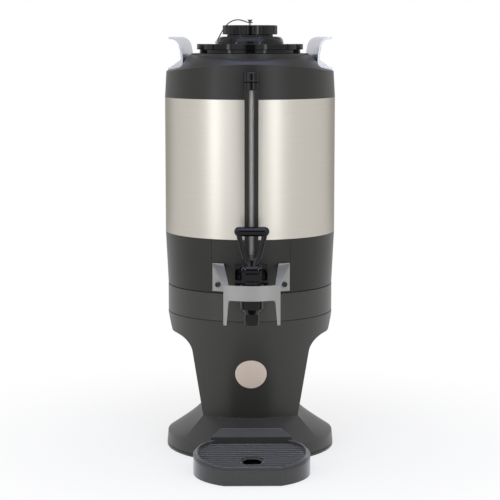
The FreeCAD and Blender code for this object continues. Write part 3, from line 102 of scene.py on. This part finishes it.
def tube_points(line, radius, sides):
    """Rings of points round a line: each ring is centre + radius (side cos a + up sin a), where
    side is level and square to the line and up is square to both."""
    along = np.gradient(line, axis=0)
    along /= np.linalg.norm(along, axis=1, keepdims=True)
    side = np.cross(along, (0.0, 0.0, 1.0))
    side /= np.linalg.norm(side, axis=1, keepdims=True)
    up = np.cross(side, along)
    angle = np.linspace(0.0, 2 * math.pi, sides, endpoint=False)
    ring = side[:, None] * np.cos(angle)[None, :, None] + up[:, None] * np.sin(angle)[None, :, None]
    return line[:, None] + radius * ring


def linear(code):
    """Turns an sRGB hex colour into the linear colour that the shaders take: a channel c up to 0.04045
    is divided by 12.92, and above that becomes (c + 0.055) / 1.055 to the power 2.4."""
    parts = np.array([int(code[place:place + 2], 16) for place in (1, 3, 5)]) / 255.0
    low = parts / 12.92
    high = ((parts + 0.055) / 1.055) ** 2.4
    return (*np.where(parts <= 0.04045, low, high).tolist(), 1.0)


def add(tree, kind, sockets=None, **settings):
    """Adds a node, sets its properties, and sets or links its sockets."""
    made = tree.nodes.new(kind)
    for name, value in settings.items():
        setattr(made, name, value)
    for name, value in (sockets or {}).items():
        if isinstance(value, bpy.types.NodeSocket):
            tree.links.new(value, made.inputs[name])
        else:
            made.inputs[name].default_value = value
    return made


def new_finish(name):
    """Starts an empty material and returns it with its node tree and the places on the piece, in metres."""
    made = bpy.data.materials.new(name)
    made.use_nodes = True
    made.node_tree.nodes.clear()
    return made, made.node_tree, add(made.node_tree, "ShaderNodeTexCoord").outputs["Object"]


def grained_finish(name, sockets, grain_mm, detail=2.0, swirl=0.0, stretch=None, roughness=None, tones=None,
                   edge_mm=0.0, edge_samples=6, relief=None, brushed_round=False):
    """Makes a finish from the shader's plain sockets and one noise of a grain size, which a stretch draws out
    along an axis. The noise runs the roughness between two values, the colour between two tones, and a
    relief of a strength and a depth in millimetres; an edge rounds the corners by that radius, and
    brushing round the upright axis draws the highlights out across its strokes."""
    finish, tree, place = new_finish(name)
    sockets = dict(sockets)
    if stretch:
        place = add(tree, "ShaderNodeMapping", {"Vector": place, "Scale": stretch}).outputs["Vector"]
    grain = add(tree, "ShaderNodeTexNoise", {"Vector": place, "Scale": 1000.0 / grain_mm, "Detail": detail,
                                             "Distortion": swirl}).outputs["Fac"]
    if roughness:
        spread = add(tree, "ShaderNodeMapRange", {"Value": grain, "To Min": roughness[0],
                                                  "To Max": roughness[1]})
        sockets["Roughness"] = spread.outputs["Result"]
    if tones:
        colour = add(tree, "ShaderNodeMix", {"Factor": grain, "A": linear(tones[0]), "B": linear(tones[1])},
                     data_type="RGBA")
        sockets["Base Color"] = colour.outputs["Result"]
    if edge_mm:
        edge = add(tree, "ShaderNodeBevel", {"Radius": edge_mm / 1000.0}, samples=edge_samples)
        sockets["Normal"] = edge.outputs["Normal"]
    if relief:
        bump = {"Height": grain, "Strength": relief[0], "Distance": relief[1] / 1000.0}
        if edge_mm:
            bump["Normal"] = sockets["Normal"]
        sockets["Normal"] = add(tree, "ShaderNodeBump", bump).outputs["Normal"]
    if brushed_round:
        strokes = add(tree, "ShaderNodeTangent", direction_type="RADIAL", axis="Z")
        sockets["Tangent"] = strokes.outputs["Tangent"]
    shade = add(tree, "ShaderNodeBsdfPrincipled", sockets)
    add(tree, "ShaderNodeOutputMaterial", {"Surface": shade.outputs["BSDF"]})
    return finish


def coat(finish, *names):
    """Gives CAD nodes one finish."""
    for name in names:
        mesh = nodes[name].data
        mesh.materials.clear()
        mesh.materials.append(finish)


# Vinyl sleeving is extruded, so it is smooth, with faint drag marks that dull its shine.
tether = grid_piece("tether_cord", tube_points(tether_line, TETHER_DIAMETER / 2, TETHER_SIDES), tube=True)
vinyl = grained_finish("extruded vinyl sleeve",
                       {"Base Color": linear("#161617"), "Roughness": 0.32, "IOR": 1.53},
                       grain_mm=0.8, relief=(0.1, 0.2))
tether.data.materials.append(vinyl)
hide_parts("tether")
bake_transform(tether)
coat(vinyl, "tether_eye")

# The studio is a white paper floor in a white surround. Round the foot the paper keeps part of its own
# light, with the object's shadow in it; farther out it is plain white to the eye and in gloss.
FLOOR_HALF = 6.0
FLOOR_LEVEL = -0.0005
SHADOW_NEAR, SHADOW_FAR = 0.16, 0.60
WHITE_NEAR, WHITE_FAR = 0.62, 1.0
SURROUND_LIGHT = 0.72
PLAIN_WHITE = (1.0, 1.0, 1.0, 1.0)


def seen_directly(tree):
    """Is 1 for camera, glossy and transmission rays and 0 for the rest: the largest of the three marks."""
    ray = add(tree, "ShaderNodeLightPath")
    seen = add(tree, "ShaderNodeMath", {0: ray.outputs["Is Camera Ray"], 1: ray.outputs["Is Glossy Ray"]},
               operation="MAXIMUM")
    seen = add(tree, "ShaderNodeMath", {0: seen.outputs["Value"], 1: ray.outputs["Is Transmission Ray"]},
               operation="MAXIMUM")
    return seen.outputs["Value"]


floor = grid_piece("studio_floor", np.array(
    [[(-FLOOR_HALF, FLOOR_HALF, FLOOR_LEVEL), (-FLOOR_HALF, -FLOOR_HALF, FLOOR_LEVEL)],
     [(FLOOR_HALF, FLOOR_HALF, FLOOR_LEVEL), (FLOOR_HALF, -FLOOR_HALF, FLOOR_LEVEL)]]))
paper, tree, place = new_finish("white studio paper")
level_place = add(tree, "ShaderNodeVectorMath", {0: place, 1: (1.0, 1.0, 0.0)}, operation="MULTIPLY")
reach = add(tree, "ShaderNodeVectorMath", {0: level_place.outputs["Vector"]}, operation="LENGTH")
away = add(tree, "ShaderNodeMapRange", {"Value": reach.outputs["Value"], "From Min": SHADOW_NEAR,
                                        "From Max": SHADOW_FAR, "To Min": WHITE_NEAR, "To Max": WHITE_FAR},
           interpolation_type="SMOOTHSTEP")
share = add(tree, "ShaderNodeMath", {0: seen_directly(tree), 1: away.outputs["Result"]}, operation="MULTIPLY")
lit = add(tree, "ShaderNodeBsdfDiffuse", {"Color": linear("#fbfbfa")})
white = add(tree, "ShaderNodeEmission", {"Color": PLAIN_WHITE, "Strength": 1.0})
paper_face = add(tree, "ShaderNodeMixShader", {0: share.outputs["Value"], 1: lit.outputs["BSDF"],
                                               2: white.outputs["Emission"]})
add(tree, "ShaderNodeOutputMaterial", {"Surface": paper_face.outputs["Shader"]})
floor.data.materials.append(paper)

world = bpy.data.worlds.new("studio")
scene.world = world
world.use_nodes = True
tree = world.node_tree
tree.nodes.clear()
surround_light = add(tree, "ShaderNodeBackground", {"Color": PLAIN_WHITE, "Strength": SURROUND_LIGHT})
surround_white = add(tree, "ShaderNodeBackground", {"Color": PLAIN_WHITE, "Strength": 1.0})
surround = add(tree, "ShaderNodeMixShader", {0: seen_directly(tree), 1: surround_light.outputs["Background"],
                                             2: surround_white.outputs["Background"]})
add(tree, "ShaderNodeOutputWorld", {"Surface": surround.outputs["Shader"]})

# Felt cards stand round the studio and show only in gloss, where a level of 1 is white: a dark screen
# behind the camera, grey flags behind the object, low and high on both sides, and two bright blue
# cards above, which give the black slopes and the lid their cool sheen.
NAP_MM = 25.0
NAP_SWING = 0.1
WHITE_FELT, BLUE_FELT = "#ffffff", "#d4daff"


def reflected_card(name, corner, along, rise, colour, level):
    """A flat card, corner + u along + v rise with u and v from 0 to 1, that only gloss shows;
    the felt's nap makes its brightness swing a little about its level."""
    corner, along, rise = np.array(corner), np.array(along), np.array(rise)
    card = grid_piece(name, np.array([[corner, corner + rise], [corner + along, corner + along + rise]]))
    felt, tree, place = new_finish(name + " felt")
    nap = add(tree, "ShaderNodeTexNoise", {"Vector": place, "Scale": 1000.0 / NAP_MM})
    uneven = add(tree, "ShaderNodeMapRange", {"Value": nap.outputs["Fac"], "To Min": (1 - NAP_SWING) * level,
                                              "To Max": (1 + NAP_SWING) * level})
    glow = add(tree, "ShaderNodeEmission", {"Color": linear(colour), "Strength": uneven.outputs["Result"]})
    add(tree, "ShaderNodeOutputMaterial", {"Surface": glow.outputs["Emission"]})
    card.data.materials.append(felt)
    card.visible_camera = False
    card.visible_diffuse = False
    card.visible_shadow = False
    card.visible_transmission = False


for card in (
        ("studio_screen", (-0.62, -3.4, -0.3), (1.24, 0.0, 0.0), (0.0, 0.0, 2.2), WHITE_FELT, 0.16),
        ("studio_flag_left", (-2.4, 2.0, -0.3), (2.05, 0.0, 0.0), (0.0, 0.0, 0.9), WHITE_FELT, 0.62),
        ("studio_flag_right", (0.35, 2.0, -0.3), (2.05, 0.0, 0.0), (0.0, 0.0, 0.9), WHITE_FELT, 0.62),
        ("studio_overhead", (-2.0, -2.2, 1.75), (4.0, 0.0, 0.0), (0.0, 1.3, 0.55), BLUE_FELT, 3.2),
        ("studio_flag_high_left", (-1.5, 1.2, 1.15), (1.15, 0.0, 0.0), (0.0, 0.0, 2.4), WHITE_FELT, 0.35),
        ("studio_flag_high_right", (0.35, 1.2, 1.15), (1.15, 0.0, 0.0), (0.0, 0.0, 2.4), WHITE_FELT, 0.35),
        ("studio_zenith", (-0.8, -0.4, 2.35), (1.6, 0.0, 0.0), (0.0, 1.3, 0.0), BLUE_FELT, 2.6)):
    reflected_card(*card)

# The lamps are soft boxes. A tall narrow one and a wide faint one stand on each side of the front, for the
# bright bands and the even light between them on the steel, and a large cool one hangs above the front.
DAYLIGHT, SKYLIGHT = "#f8fbff", "#d9e0ff"
BODY_AIM, TOP_AIM = (0.0, 0.0, 0.33), (0.0, 0.0, 0.3)


def soft_lamp(name, stand, aim, size, watts, colour):
    """A rectangular soft lamp at its stand, facing an aim point, with its size in metres."""
    lamp_data = bpy.data.lights.new(name, "AREA")
    lamp_data.shape = "RECTANGLE"
    lamp_data.size, lamp_data.size_y = size
    lamp_data.energy = watts
    lamp_data.color = linear(colour)[:3]
    lamp = bpy.data.objects.new(name, lamp_data)
    lamp.location = stand
    lamp.rotation_euler = (Vector(aim) - Vector(stand)).to_track_quat("-Z", "Y").to_euler()
    scene.collection.objects.link(lamp)


for lamp in (
        ("lamp_left", (-1.72, -1.55, 0.66), BODY_AIM, (0.26, 1.7), 6.2, DAYLIGHT),
        ("lamp_right", (1.20, -1.90, 0.66), BODY_AIM, (0.22, 1.7), 4.6, DAYLIGHT),
        ("fill_left", (-1.22, -2.30, 0.66), BODY_AIM, (1.1, 1.7), 2.6, DAYLIGHT),
        ("fill_right", (1.06, -2.38, 0.66), BODY_AIM, (0.9, 1.7), 1.9, DAYLIGHT),
        ("lamp_top", (0.0, -1.15, 2.25), TOP_AIM, (1.7, 1.1), 15.0, SKYLIGHT)):
    soft_lamp(*lamp)

# The stand is injection-moulded ABS: a hollow column with a flared foot, closed by a round base plate
# below and topped by the cradle ring that the server sits in. Spark-eroded moulds leave a fine satin grain
# that spreads highlights; it is drawn coarser than the real one, so that it shows.
GRAIN_MM = 0.7
FLOW_MM = 60.0
EDGE_MM = 0.7
RELIEF_MM, RELIEF_STRENGTH = 0.2, 0.22
SATIN_LOW, SATIN_HIGH = 0.32, 0.40


def satin_abs(name, deep, pale, ior):
    """Makes a satin moulded plastic: a coarse noise along the flow of the melt runs the colour between two
    tones and the roughness between two values, and a fine one is the relief of the mould's grain."""
    finish, tree, place = new_finish(name)
    grain = add(tree, "ShaderNodeTexNoise", {"Vector": place, "Scale": 1000.0 / GRAIN_MM, "Detail": 3.0})
    flow = add(tree, "ShaderNodeTexNoise", {"Vector": place, "Scale": 1000.0 / FLOW_MM, "Detail": 4.0})
    rough = add(tree, "ShaderNodeMapRange", {"Value": flow.outputs["Fac"], "To Min": SATIN_LOW,
                                             "To Max": SATIN_HIGH})
    edge = add(tree, "ShaderNodeBevel", {"Radius": EDGE_MM / 1000.0}, samples=6)
    relief = add(tree, "ShaderNodeBump", {"Height": grain.outputs["Fac"], "Strength": RELIEF_STRENGTH,
                                          "Distance": RELIEF_MM / 1000.0, "Normal": edge.outputs["Normal"]})
    colour = add(tree, "ShaderNodeMix", {"Factor": flow.outputs["Fac"], "A": linear(deep), "B": linear(pale)},
                 data_type="RGBA")
    shade = add(tree, "ShaderNodeBsdfPrincipled", {"Base Color": colour.outputs["Result"],
                                                   "Roughness": rough.outputs["Result"], "IOR": ior,
                                                   "Normal": relief.outputs["Normal"]})
    add(tree, "ShaderNodeOutputMaterial", {"Surface": shade.outputs["BSDF"]})
    return finish


# The stand's tones are written a little lighter than the server's, a painted light for the light its leaning
# walls catch from the white floor.
coat(satin_abs("moulded satin ABS of the stand", deep="#2a2926", pale="#302f2b", ior=1.48),
     "stand_column", "base_plate", "cradle_ring")

# The badge is a thin round plate of champagne aluminium, left bare and stuck to the column.
# It is brushed across in fine strokes, drawn coarser than the real ones, that soften its shine.
champagne = grained_finish("brushed champagne aluminium", {"Base Color": linear("#e3d3c4"), "Metallic": 0.45},
                           grain_mm=0.25, detail=3.0, stretch=(0.03, 1.0, 1.0), roughness=(0.42, 0.56),
                           edge_mm=0.5, relief=(0.08, 0.1))
coat(champagne, "badge")

# The screws are steel with a hexagon socket, zinc-plated and tumbled, so they are bright but a little
# cloudy. The tether's stud and the fill cap's post are turned steel with the same plating.
zinc = grained_finish("zinc-plated steel", {"Base Color": linear("#9a9a9c"), "Metallic": 1.0},
                      grain_mm=2.5, detail=3.0, roughness=(0.22, 0.40), edge_mm=0.5)
coat(zinc, "base_screws", "bottom_screws", "handle_screws", "tether_stud", "cap_post")

# The drip tray lays its tongue on the stand's foot, and the ribbed grille drops into it. Both are polished
# ABS, which mirrors the stand; wiping has left faint swirls in the shine, and a pale cool sheen at grazing
# angles is a painted sheen for the sky's reflection on their upward faces.
abs_gloss = grained_finish("polished ABS", {"Base Color": linear("#333332"), "IOR": 1.5, "Sheen Weight": 0.6,
                                            "Sheen Roughness": 0.35, "Sheen Tint": linear("#f0f2ff")},
                           grain_mm=9.0, detail=4.0, swirl=0.8, roughness=(0.10, 0.22),
                           edge_mm=1.1, edge_samples=8, relief=(0.06, 1.0))
coat(abs_gloss, "drip_tray", "drip_grille")

# The server's base is a pan, a tapered skirt and a front panel behind the faucet, moulded in the stand's
# satin ABS made a little less shiny; its tones are written a little deeper than the stand's, a painted shade
# that tones down the lamps' light on it.
abs_satin = satin_abs("moulded satin ABS of the server", deep="#1d1c19", pale="#22211d", ior=1.40)
coat(abs_satin, "server_bottom_pan", "bottom_skirt", "skirt_front_panel")

# The flask is two drawn stainless shells, and the body shell round them is rolled sheet, brushed round the
# body in level streaks that spread each highlight upwards and downwards. The streaks are drawn coarser
# than the real ones, so that they show.
# The specular tint dims the shine at grazing angles, a painted shade that darkens the shell's sides.
stainless = grained_finish("brushed stainless steel", {"Metallic": 1.0, "Specular Tint": linear("#d0cdc6"),
                                                       "Anisotropic": 0.6},
                           grain_mm=0.45, detail=4.0, stretch=(0.004, 0.004, 1.0), roughness=(0.24, 0.36),
                           tones=("#bdb9b1", "#c9c5bd"), brushed_round=True)
coat(stainless, "flask_outer", "flask_inner", "body_shell")

# The shoulder is one moulding in the server's satin ABS. It caps the shell, slopes up to the lid's
# seat and has a flat shelf on each side for a handle's foot.
coat(abs_satin, "top_shoulder")

# The handles are cast plates with a rib at each end of the foot, curled outwards at the top for the fingers.
# They are zinc, bead-blasted and plated to a pale satin that takes the light of whatever it faces.
# The marks of the beads are drawn coarser than the real ones.
satin_zinc = grained_finish("satin-plated zinc casting", {"Base Color": linear("#b6b7be"), "Metallic": 0.85},
                            grain_mm=0.35, roughness=(0.24, 0.32), edge_mm=0.8, relief=(0.06, 0.1))
coat(satin_zinc, "handle_left", "handle_right")

# The faucet's square back plate, body, bonnet, lever, nut and stem are compression-moulded phenolic,
# flash-trimmed and tumbled to a deep black gloss with a slight ripple. The shank and the lever's pin
# are stainless steel.
phenolic = grained_finish("polished phenolic", {"Base Color": linear("#070708"), "IOR": 1.33},
                          grain_mm=8.0, roughness=(0.05, 0.11), edge_mm=0.9, edge_samples=8,
                          relief=(0.05, 1.0))
coat(phenolic, "faucet_escutcheon", "faucet_body", "faucet_bonnet", "faucet_lever", "shank_nut",
     "faucet_stem")
coat(stainless, "faucet_shank", "faucet_pin")

# The guard is one piece of stainless plate, cut with its prongs, bowed round the faucet and blasted to an
# even grey, with the blast's marks drawn coarser than the real ones. Two black-oxide screws hold its
# pads to the front panel.
blasted = grained_finish("bead-blasted stainless plate", {"Base Color": linear("#93938f"), "Metallic": 0.35},
                         grain_mm=0.5, roughness=(0.34, 0.44), edge_mm=0.9, relief=(0.06, 0.1))
coat(blasted, "faucet_guard")
black_oxide = grained_finish("black-oxide steel", {"Base Color": linear("#2b2b2c"), "Metallic": 0.6},
                             grain_mm=1.2, detail=3.0, roughness=(0.22, 0.38), edge_mm=0.5)
coat(black_oxide, "guard_screws")

# The sight gauge is a clear acrylic tube in a slotted ABS shield, with a polished collar and cap on top.
# The tube is extruded, and long flow lines in its wall blur what shows through it.
coat(abs_satin, "gauge_shield")
coat(phenolic, "gauge_collar", "gauge_cap")
acrylic = grained_finish("extruded acrylic",
                         {"Base Color": linear("#dbd9d2"), "IOR": 1.49, "Transmission Weight": 0.45},
                         grain_mm=3.0, stretch=(1.0, 1.0, 0.02), roughness=(0.02, 0.10))
coat(acrylic, "gauge_tube")

# The lid is a flanged dome with a plug into the flask's neck, and the fluted fill cap screws into it.
# All three are moulded in the faucet's glossy black.
coat(phenolic, "lid", "lid_plug", "fill_cap")

# Seals and gaskets are moulded grey silicone, pressed into their seats. They are soft and matt,
# with a bloom of fine dust that makes the grey uneven.
silicone = grained_finish("moulded grey silicone", {"Roughness": 0.6, "IOR": 1.41},
                          grain_mm=1.5, detail=3.0, tones=("#545456", "#646466"))
coat(silicone, "flask_neck_seal", "outlet_gasket", "gauge_bottom_seal", "seat_cup", "lid_gasket",
     "cap_gasket")
